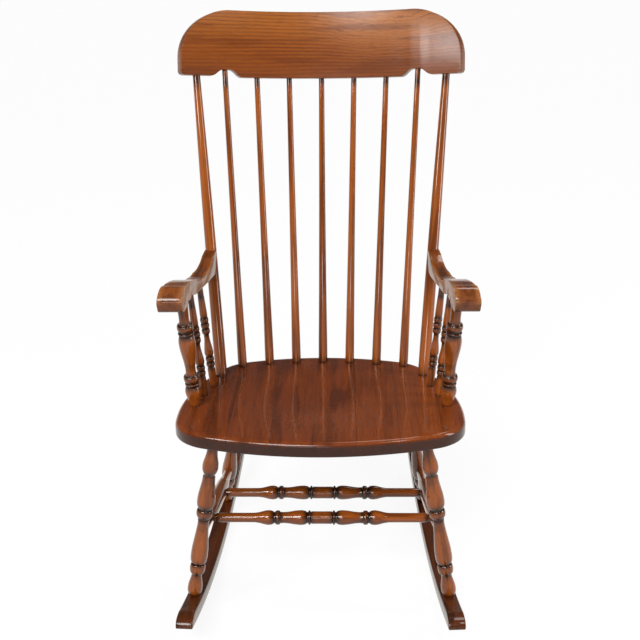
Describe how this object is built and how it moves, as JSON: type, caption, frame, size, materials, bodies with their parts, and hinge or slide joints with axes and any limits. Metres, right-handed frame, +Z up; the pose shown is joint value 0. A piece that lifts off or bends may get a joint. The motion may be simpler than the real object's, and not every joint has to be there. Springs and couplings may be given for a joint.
{
  "type": "boston rocking chair",
  "caption": "Wooden rocking chair with a tall spindle back under a bent crest rail, scooped seat, rolled arms, turned legs and stretchers, and a pair of long curved rockers.",
  "frame": {"origin": "on the floor under the middle of the chair's overall box, in its mirror plane", "axes": "+X to the right as seen from the front, +Y from the front of the seat to the back, +Z up"},
  "size_m": [0.5778, 0.76, 1.106],
  "materials": {
    "crest_wood": "glossy golden brown lacquer over open grain",
    "seat_wood": "glossy deep red brown lacquer over glued boards",
    "turned_wood": "glossy red brown lacquer with dark glaze in the grooves",
    "arm_wood": "glossy dark brown lacquer, worn lighter on the edges",
    "rocker_wood": "glossy dark brown lacquer",
    "screw_steel": "zinc plated"
  },
  "bodies": {
    "root": {"crest_rail": "crest_wood", "back_post_left": "turned_wood", "back_post_right": "turned_wood", "back_spindle_1": "turned_wood", "back_spindle_2": "turned_wood", "back_spindle_3": "turned_wood", "back_spindle_4": "turned_wood", "back_spindle_5": "turned_wood", "back_spindle_6": "turned_wood", "back_spindle_7": "turned_wood", "seat": "seat_wood", "arm_left": "arm_wood", "arm_right": "arm_wood", "arm_post_left": "turned_wood", "arm_post_right": "turned_wood", "arm_spindle_left_front": "turned_wood", "arm_spindle_left_rear": "turned_wood", "arm_spindle_right_front": "turned_wood", "arm_spindle_right_rear": "turned_wood", "front_leg_left": "turned_wood", "front_leg_right": "turned_wood", "rear_leg_left": "turned_wood", "rear_leg_right": "turned_wood", "side_stretcher_left": "turned_wood", "side_stretcher_right": "turned_wood", "cross_stretcher_front": "turned_wood", "cross_stretcher_rear": "turned_wood", "rocker_left": "rocker_wood", "rocker_right": "rocker_wood", "arm_screws": "screw_steel", "arm_screw_plugs": "turned_wood"}
  },
  "joints": []
}
